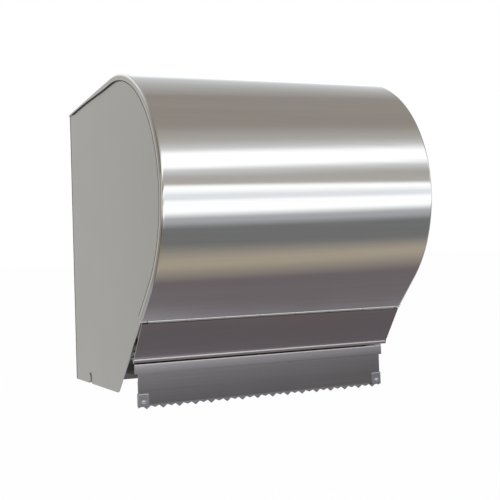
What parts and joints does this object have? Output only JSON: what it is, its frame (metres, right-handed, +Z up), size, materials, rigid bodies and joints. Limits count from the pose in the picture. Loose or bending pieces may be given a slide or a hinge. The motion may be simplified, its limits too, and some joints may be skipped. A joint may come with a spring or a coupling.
{
  "type": "lever paper towel dispenser",
  "caption": "Wall-mounted stainless lever paper towel dispenser: a round-fronted cover hinged at its lip over a cabinet with roll holder, feed rollers and a push lever with a toothed edge.",
  "frame": {"origin": "centre of the four wall screw holes, on the rear face of the wall plate", "axes": "+X to the right as seen by the user, +Y into the wall, +Z up"},
  "size_m": [0.27, 0.267, 0.306],
  "materials": {
    "cover_steel": "satin, grain along the width",
    "cheek_steel": "fine matt satin",
    "front_steel": "satin, grain along the width",
    "case_steel": "mill finish",
    "hinge_steel": "bright drawn",
    "blade_steel": "bright rolled",
    "zinc_steel": "zinc plated",
    "spring_steel": "bright drawn",
    "lock_chrome": "polished chrome",
    "black_rubber": "matt, lightly ground",
    "black_plastic": "moulded, matt",
    "white_plastic": "moulded acetal"
  },
  "bodies": {
    "cabinet": {"back_plate": "case_steel", "right_cheek": "cheek_steel", "left_cheek": "cheek_steel", "bottom_cross_rail": "case_steel", "front_apron": "front_steel", "apron_hinge_leaf": "hinge_steel", "hinge_pin": "hinge_steel", "lock_strike": "zinc_steel", "chassis_right": "zinc_steel", "chassis_left": "zinc_steel", "chassis_screws": "zinc_steel", "towel_guide": "case_steel", "shaft_bushings": "white_plastic", "lever_pivot_studs": "zinc_steel", "lever_stops": "black_rubber", "return_spring": "spring_steel", "nip_springs": "spring_steel", "pawl_stud": "zinc_steel", "roll_arm_left": "zinc_steel", "arm_bracket": "zinc_steel", "arm_hinge_pin": "spring_steel", "left_axle": "spring_steel"},
    "cover": {"cover_wrap": "cover_steel", "cover_rim_right": "cover_steel", "cover_rim_left": "cover_steel", "cover_hinge_leaf": "hinge_steel", "lock_body": "lock_chrome", "lock_nut": "zinc_steel"},
    "lock_core": {"lock_plug": "lock_chrome", "lock_cam": "zinc_steel"},
    "lever": {"lever_plate": "front_steel", "tear_blade": "blade_steel", "lever_arm_right": "zinc_steel", "lever_arm_left": "zinc_steel", "sector_gear": "white_plastic"},
    "drive_gear": {"drive_pinion": "white_plastic", "clutch_sleeve": "spring_steel"},
    "feed": {"feed_shaft": "spring_steel", "feed_roller": "black_plastic", "grip_bands": "black_rubber", "ratchet_wheel": "white_plastic"},
    "nip_carriage": {"bearing_blocks": "white_plastic"},
    "nip_roller": {"pressure_shaft": "spring_steel", "pressure_roller": "black_plastic"},
    "pawl": {"holding_pawl": "zinc_steel"},
    "right_arm": {"roll_arm_right": "zinc_steel", "right_axle": "spring_steel"},
    "right_hub": {"right_core_hub": "white_plastic"},
    "left_hub": {"left_core_hub": "white_plastic"}
  },
  "joints": [
    {"name": "cover_open", "type": "hinge", "parent": "cabinet", "child": "cover", "pos_m": [0, -0.20468, -0.08616], "axis": [1, 0, 0], "range_deg": [0, 95]},
    {"name": "lock_turn", "type": "hinge", "parent": "cover", "child": "lock_core", "pos_m": [0, -0.03, 0.12596], "axis": [0, 0.1132, 0.9936], "range_deg": [0, 90]},
    {"name": "lever_push", "type": "hinge", "parent": "cabinet", "child": "lever", "pos_m": [0, -0.15, -0.093], "axis": [1, 0, 0], "range_deg": [0, 25], "stiffness_Nm_per_rad": 0.3, "springref_deg": -34.38},
    {"name": "pinion_turn", "type": "hinge", "parent": "cabinet", "child": "drive_gear", "pos_m": [0, -0.11807, -0.11495], "axis": [1, 0, 0], "range_deg": [0, 155]},
    {"name": "feed_turn", "type": "hinge", "parent": "cabinet", "child": "feed", "pos_m": [0, -0.11807, -0.11495], "axis": [1, 0, 0], "continuous": true},
    {"name": "nip_slide", "type": "slide", "parent": "cabinet", "child": "nip_carriage", "axis": [0, -1, 0], "range_m": [0, 0.0025], "stiffness_N_per_m": 2000, "springref_m": -0.003, "deforming": ["nip_springs"]},
    {"name": "nip_turn", "type": "hinge", "parent": "nip_carriage", "child": "nip_roller", "pos_m": [0, -0.14736, -0.11495], "axis": [1, 0, 0], "continuous": true},
    {"name": "pawl_lift", "type": "hinge", "parent": "cabinet", "child": "pawl", "pos_m": [0, -0.0942, -0.11762], "axis": [-1, 0, 0], "range_deg": [0, 12], "stiffness_Nm_per_rad": 0.01, "springref_deg": -28.65},
    {"name": "right_arm_spread", "type": "hinge", "parent": "cabinet", "child": "right_arm", "pos_m": [0.106, -0.014, 0.017], "axis": [0, 0, 1], "range_deg": [0, 8], "stiffness_Nm_per_rad": 3, "springref_deg": -8.59},
    {"name": "right_hub_turn", "type": "hinge", "parent": "right_arm", "child": "right_hub", "pos_m": [0.098, -0.13, 0.017], "axis": [1, 0, 0], "continuous": true},
    {"name": "left_hub_turn", "type": "hinge", "parent": "cabinet", "child": "left_hub", "pos_m": [-0.098, -0.13, 0.017], "axis": [1, 0, 0], "continuous": true}
  ],
  "couplings": [
    {"joint": "pinion_turn", "follows": "lever_push", "ratio": 6.1667},
    {"joint": "nip_turn", "follows": "feed_turn", "ratio": -2.2222}
  ]
}
